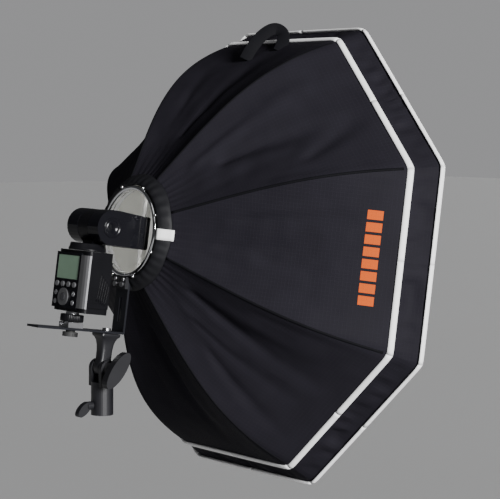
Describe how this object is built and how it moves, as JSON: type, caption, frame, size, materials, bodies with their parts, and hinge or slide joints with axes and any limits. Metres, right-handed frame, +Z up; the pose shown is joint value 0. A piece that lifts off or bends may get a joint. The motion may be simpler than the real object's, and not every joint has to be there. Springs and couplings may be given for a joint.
{
  "type": "studio softbox",
  "caption": "Octagonal folding softbox on a speed ring and tilting L-bracket, lit by a hot-shoe flash, with a stand adapter and removable white front.",
  "frame": {"origin": "centre of the stand socket's mouth, at the bottom of the stand adapter", "axes": "+Z up along the stand socket, +X the way the light faces, +Y to its left; the head is tilted 7.68 degrees nose-down about Y"},
  "size_m": [0.4689, 0.6524, 0.6545],
  "materials": {
    "ripstop": "black ripstop nylon with a silver lining",
    "diffuser": "white translucent diffusion cloth",
    "webbing": "black woven polyester webbing and elastic",
    "chrome": "polished chrome",
    "steel": "bright plated steel",
    "rib_steel": "spring steel",
    "anodised": "black anodised aluminium",
    "casting": "dark satin paint on a die casting",
    "plastic": "fine-textured black plastic",
    "key": "dark grey rubber",
    "silver": "silver painted plastic",
    "screen": "grey-green display window",
    "lens": "clear ribbed plastic",
    "cell": "shrink-wrapped cells"
  },
  "bodies": {
    "adapter": {"adapter_body": "casting"},
    "clamp_knob": {"clamp_knob": "plastic"},
    "tilt_knob": {"tilt_knob": "plastic"},
    "head": {"neck_block": "casting", "neck_screw": "steel", "l_bracket": "anodised", "ring_clamp": "casting", "clamp_screw_left": "steel", "clamp_screw_right": "steel", "hub_ring": "chrome", "rib_carrier": "plastic", "collar": "webbing"},
    "shoe": {"cold_shoe": "steel"},
    "shoe_knob": {"shoe_knob": "plastic"},
    "flash": {"flash_case": "plastic", "flash_foot": "steel", "rear_panel": "plastic", "lcd_window": "screen", "side_trim": "silver", "battery_pack": "cell"},
    "foot_lock": {"foot_lock": "plastic"},
    "battery_door": {"battery_door": "plastic"},
    "dial": {"dial_ring": "silver"},
    "dial_button": {"dial_button": "key"},
    "key_1": {"key_1": "key"},
    "key_2": {"key_2": "key"},
    "key_3": {"key_3": "key"},
    "key_4": {"key_4": "key"},
    "swivel": {"swivel_neck": "plastic"},
    "flash_head": {"head_shell": "plastic", "reflector": "chrome", "flash_tube": "lens", "head_lens": "lens"},
    "wide_panel": {"wide_panel": "lens"},
    "diffuser": {"diffuser": "diffuser"},
    "rib_1": {"rib_1": "rib_steel"},
    "gore_1_before": {"gore_1_before": "ripstop"},
    "gore_1_after": {"gore_1_after": "ripstop"},
    "rib_2": {"rib_2": "rib_steel"},
    "gore_2_before": {"gore_2_before": "ripstop"},
    "gore_2_after": {"gore_2_after": "ripstop"},
    "rib_3": {"rib_3": "rib_steel"},
    "gore_3_before": {"gore_3_before": "ripstop"},
    "gore_3_after": {"gore_3_after": "ripstop"},
    "rib_4": {"rib_4": "rib_steel"},
    "gore_4_before": {"gore_4_before": "ripstop"},
    "gore_4_after": {"gore_4_after": "ripstop"},
    "rib_5": {"rib_5": "rib_steel"},
    "gore_5_before": {"gore_5_before": "ripstop"},
    "gore_5_after": {"gore_5_after": "ripstop"},
    "rib_6": {"rib_6": "rib_steel"},
    "gore_6_before": {"gore_6_before": "ripstop"},
    "gore_6_after": {"gore_6_after": "ripstop"},
    "rib_7": {"rib_7": "rib_steel"},
    "gore_7_before": {"gore_7_before": "ripstop"},
    "gore_7_after": {"gore_7_after": "ripstop"},
    "rib_8": {"rib_8": "rib_steel"},
    "gore_8_before": {"gore_8_before": "ripstop"},
    "gore_8_after": {"gore_8_after": "ripstop", "bundle_strap": "webbing"}
  },
  "joints": [
    {"name": "clamp_knob_turn", "type": "hinge", "parent": "adapter", "child": "clamp_knob", "pos_m": [-0.034, 0, 0.014], "axis": [1, 0, 0], "continuous": true},
    {"name": "tilt_knob_turn", "type": "hinge", "parent": "adapter", "child": "tilt_knob", "pos_m": [0, -0.035, 0.065], "axis": [0, 1, 0], "continuous": true},
    {"name": "head_tilt", "type": "hinge", "parent": "adapter", "child": "head", "pos_m": [0, 0, 0.065], "axis": [0, 1, 0], "range_deg": [-45, 40]},
    {"name": "shoe_slide", "type": "slide", "parent": "head", "child": "shoe", "axis": [0.991, 0, -0.1336], "range_m": [-0.045, 0]},
    {"name": "shoe_knob_turn", "type": "hinge", "parent": "shoe", "child": "shoe_knob", "pos_m": [-0.05289, 0, 0.11516], "axis": [0.1336, 0, 0.991], "continuous": true},
    {"name": "flash_in_shoe", "type": "slide", "parent": "shoe", "child": "flash", "axis": [0.991, 0, -0.1336], "range_m": [-0.06, 0]},
    {"name": "foot_lock_turn", "type": "hinge", "parent": "flash", "child": "foot_lock", "pos_m": [-0.04995, 0, 0.13696], "axis": [0.1336, 0, 0.991], "range_deg": [0, 60]},
    {"name": "battery_door_hinge", "type": "hinge", "parent": "flash", "child": "battery_door", "pos_m": [-0.01466, -0.0406, 0.18165], "axis": [0.1336, 0, 0.991], "range_deg": [0, 110]},
    {"name": "dial_turn", "type": "hinge", "parent": "flash", "child": "dial", "pos_m": [-0.05909, 0.008, 0.16645], "axis": [0.991, 0, -0.1336], "continuous": true},
    {"name": "dial_press", "type": "slide", "parent": "flash", "child": "dial_button", "axis": [0.991, 0, -0.1336], "range_m": [0, 0.0008], "stiffness_N_per_m": 900},
    {"name": "key_1_press", "type": "slide", "parent": "flash", "child": "key_1", "axis": [0.991, 0, -0.1336], "range_m": [0, 0.0008], "stiffness_N_per_m": 900},
    {"name": "key_2_press", "type": "slide", "parent": "flash", "child": "key_2", "axis": [0.991, 0, -0.1336], "range_m": [0, 0.0008], "stiffness_N_per_m": 900},
    {"name": "key_3_press", "type": "slide", "parent": "flash", "child": "key_3", "axis": [0.991, 0, -0.1336], "range_m": [0, 0.0008], "stiffness_N_per_m": 900},
    {"name": "key_4_press", "type": "slide", "parent": "flash", "child": "key_4", "axis": [0.991, 0, -0.1336], "range_m": [0, 0.0008], "stiffness_N_per_m": 900},
    {"name": "head_swivel", "type": "hinge", "parent": "flash", "child": "swivel", "pos_m": [-0.02509, 0, 0.23149], "axis": [0.1336, 0, 0.991], "range_deg": [-180, 90]},
    {"name": "flash_head_tilt", "type": "hinge", "parent": "swivel", "child": "flash_head", "pos_m": [-0.00961, 0, 0.26099], "axis": [0, -1, 0], "range_deg": [0, 90]},
    {"name": "wide_panel_slide", "type": "slide", "parent": "flash_head", "child": "wide_panel", "axis": [0.991, 0, -0.1336], "range_m": [0, 0.024]},
    {"name": "canopy_fold", "type": "hinge", "parent": "head", "child": "rib_1", "pos_m": [0.05972, -0.02621, 0.31418], "axis": [0.0511, 0.9239, 0.3793], "range_deg": [0, 34], "deforming": ["gore_1_before", "gore_1_after", "gore_2_before", "gore_2_after", "gore_3_before", "gore_3_after", "gore_4_before", "gore_4_after", "gore_5_before", "gore_5_after", "gore_6_before", "gore_6_after", "gore_7_before", "gore_7_after", "gore_8_before", "gore_8_after", "diffuser", "collar", "bundle_strap"]},
    {"name": "gore_1_before_hinge", "type": "hinge", "parent": "rib_1", "child": "gore_1_before", "pos_m": [0.06042, -0.01362, 0.31935], "axis": [0.1684, 0.8437, -0.5097], "range_deg": [0, 24.56]},
    {"name": "gore_1_after_hinge", "type": "hinge", "parent": "rib_1", "child": "gore_1_after", "pos_m": [0.05903, -0.0388, 0.30902], "axis": [-0.1076, 0.2553, 0.9609], "range_deg": [0, 24.56]},
    {"name": "rib_2_hinge", "type": "hinge", "parent": "head", "child": "rib_2", "pos_m": [0.05477, -0.06329, 0.27744], "axis": [0.1235, 0.3827, 0.9156], "range_deg": [0, 34.5]},
    {"name": "gore_2_before_hinge", "type": "hinge", "parent": "rib_2", "child": "gore_2_before", "pos_m": [0.05645, -0.05807, 0.28992], "axis": [0.267, 0.9379, 0.2216], "range_deg": [0, 24.56]},
    {"name": "gore_2_after_hinge", "type": "hinge", "parent": "rib_2", "child": "gore_2_after", "pos_m": [0.05309, -0.0685, 0.26497], "axis": [-0.1202, -0.4827, 0.8675], "range_deg": [0, 24.56]},
    {"name": "rib_3_hinge", "type": "hinge", "parent": "head", "child": "rib_3", "pos_m": [0.04776, -0.06329, 0.22549], "axis": [0.1235, -0.3827, 0.9156], "range_deg": [0, 34.5]},
    {"name": "gore_3_before_hinge", "type": "hinge", "parent": "rib_3", "child": "gore_3_before", "pos_m": [0.04944, -0.0685, 0.23796], "axis": [0.3457, 0.4827, 0.8047], "range_deg": [0, 24.56]},
    {"name": "gore_3_after_hinge", "type": "hinge", "parent": "rib_3", "child": "gore_3_after", "pos_m": [0.04608, -0.05807, 0.21301], "axis": [-0.1988, -0.9379, 0.2844], "range_deg": [0, 24.56]},
    {"name": "rib_4_hinge", "type": "hinge", "parent": "head", "child": "rib_4", "pos_m": [0.04281, -0.02621, 0.18875], "axis": [0.0511, -0.9239, 0.3793], "range_deg": [0, 34.5]},
    {"name": "gore_4_before_hinge", "type": "hinge", "parent": "rib_4", "child": "gore_4_before", "pos_m": [0.0435, -0.0388, 0.19392], "axis": [0.3583, -0.2553, 0.898], "range_deg": [0, 24.56]},
    {"name": "gore_4_after_hinge", "type": "hinge", "parent": "rib_4", "child": "gore_4_after", "pos_m": [0.04211, -0.01362, 0.18358], "axis": [-0.2974, -0.8437, -0.4469], "range_deg": [0, 24.56]},
    {"name": "rib_5_hinge", "type": "hinge", "parent": "head", "child": "rib_5", "pos_m": [0.04281, 0.02621, 0.18875], "axis": [-0.0511, -0.9239, -0.3793], "range_deg": [0, 34.5]},
    {"name": "gore_5_before_hinge", "type": "hinge", "parent": "rib_5", "child": "gore_5_before", "pos_m": [0.04211, 0.01362, 0.18358], "axis": [0.2974, -0.8437, 0.4469], "range_deg": [0, 24.56]},
    {"name": "gore_5_after_hinge", "type": "hinge", "parent": "rib_5", "child": "gore_5_after", "pos_m": [0.0435, 0.0388, 0.19392], "axis": [-0.3583, -0.2553, -0.898], "range_deg": [0, 24.56]},
    {"name": "rib_6_hinge", "type": "hinge", "parent": "head", "child": "rib_6", "pos_m": [0.04776, 0.06329, 0.22549], "axis": [-0.1235, -0.3827, -0.9156], "range_deg": [0, 34.5]},
    {"name": "gore_6_before_hinge", "type": "hinge", "parent": "rib_6", "child": "gore_6_before", "pos_m": [0.04608, 0.05807, 0.21301], "axis": [0.1988, -0.9379, -0.2844], "range_deg": [0, 24.56]},
    {"name": "gore_6_after_hinge", "type": "hinge", "parent": "rib_6", "child": "gore_6_after", "pos_m": [0.04944, 0.0685, 0.23796], "axis": [-0.3457, 0.4827, -0.8047], "range_deg": [0, 24.56]},
    {"name": "rib_7_hinge", "type": "hinge", "parent": "head", "child": "rib_7", "pos_m": [0.05477, 0.06329, 0.27744], "axis": [-0.1235, 0.3827, -0.9156], "range_deg": [0, 34.5]},
    {"name": "gore_7_before_hinge", "type": "hinge", "parent": "rib_7", "child": "gore_7_before", "pos_m": [0.05309, 0.0685, 0.26497], "axis": [0.1202, -0.4827, -0.8675], "range_deg": [0, 24.56]},
    {"name": "gore_7_after_hinge", "type": "hinge", "parent": "rib_7", "child": "gore_7_after", "pos_m": [0.05645, 0.05807, 0.28992], "axis": [-0.267, 0.9379, -0.2216], "range_deg": [0, 24.56]},
    {"name": "rib_8_hinge", "type": "hinge", "parent": "head", "child": "rib_8", "pos_m": [0.05972, 0.02621, 0.31418], "axis": [-0.0511, 0.9239, -0.3793], "range_deg": [0, 34.5]},
    {"name": "gore_8_before_hinge", "type": "hinge", "parent": "rib_8", "child": "gore_8_before", "pos_m": [0.05903, 0.0388, 0.30902], "axis": [0.1076, 0.2553, -0.9609], "range_deg": [0, 24.56]},
    {"name": "gore_8_after_hinge", "type": "hinge", "parent": "rib_8", "child": "gore_8_after", "pos_m": [0.06042, 0.01362, 0.31935], "axis": [-0.1684, 0.8437, 0.5097], "range_deg": [0, 24.56]},
    {"name": "diffuser_off", "type": "slide", "parent": "head", "child": "diffuser", "axis": [0.991, 0, -0.1336], "range_m": [0, 0.172]}
  ],
  "couplings": [
    {"joint": "gore_1_before_hinge", "follows": "canopy_fold", "ratio": 0.70762},
    {"joint": "gore_1_after_hinge", "follows": "canopy_fold", "ratio": 0.70762},
    {"joint": "rib_2_hinge", "follows": "canopy_fold", "ratio": 1},
    {"joint": "gore_2_before_hinge", "follows": "canopy_fold", "ratio": 0.70762},
    {"joint": "gore_2_after_hinge", "follows": "canopy_fold", "ratio": 0.70762},
    {"joint": "rib_3_hinge", "follows": "canopy_fold", "ratio": 1},
    {"joint": "gore_3_before_hinge", "follows": "canopy_fold", "ratio": 0.70762},
    {"joint": "gore_3_after_hinge", "follows": "canopy_fold", "ratio": 0.70762},
    {"joint": "rib_4_hinge", "follows": "canopy_fold", "ratio": 1},
    {"joint": "gore_4_before_hinge", "follows": "canopy_fold", "ratio": 0.70762},
    {"joint": "gore_4_after_hinge", "follows": "canopy_fold", "ratio": 0.70762},
    {"joint": "rib_5_hinge", "follows": "canopy_fold", "ratio": 1},
    {"joint": "gore_5_before_hinge", "follows": "canopy_fold", "ratio": 0.70762},
    {"joint": "gore_5_after_hinge", "follows": "canopy_fold", "ratio": 0.70762},
    {"joint": "rib_6_hinge", "follows": "canopy_fold", "ratio": 1},
    {"joint": "gore_6_before_hinge", "follows": "canopy_fold", "ratio": 0.70762},
    {"joint": "gore_6_after_hinge", "follows": "canopy_fold", "ratio": 0.70762},
    {"joint": "rib_7_hinge", "follows": "canopy_fold", "ratio": 1},
    {"joint": "gore_7_before_hinge", "follows": "canopy_fold", "ratio": 0.70762},
    {"joint": "gore_7_after_hinge", "follows": "canopy_fold", "ratio": 0.70762},
    {"joint": "rib_8_hinge", "follows": "canopy_fold", "ratio": 1},
    {"joint": "gore_8_before_hinge", "follows": "canopy_fold", "ratio": 0.70762},
    {"joint": "gore_8_after_hinge", "follows": "canopy_fold", "ratio": 0.70762},
    {"joint": "diffuser_off", "follows": "canopy_fold", "m_per_rad": 0.28648}
  ]
}
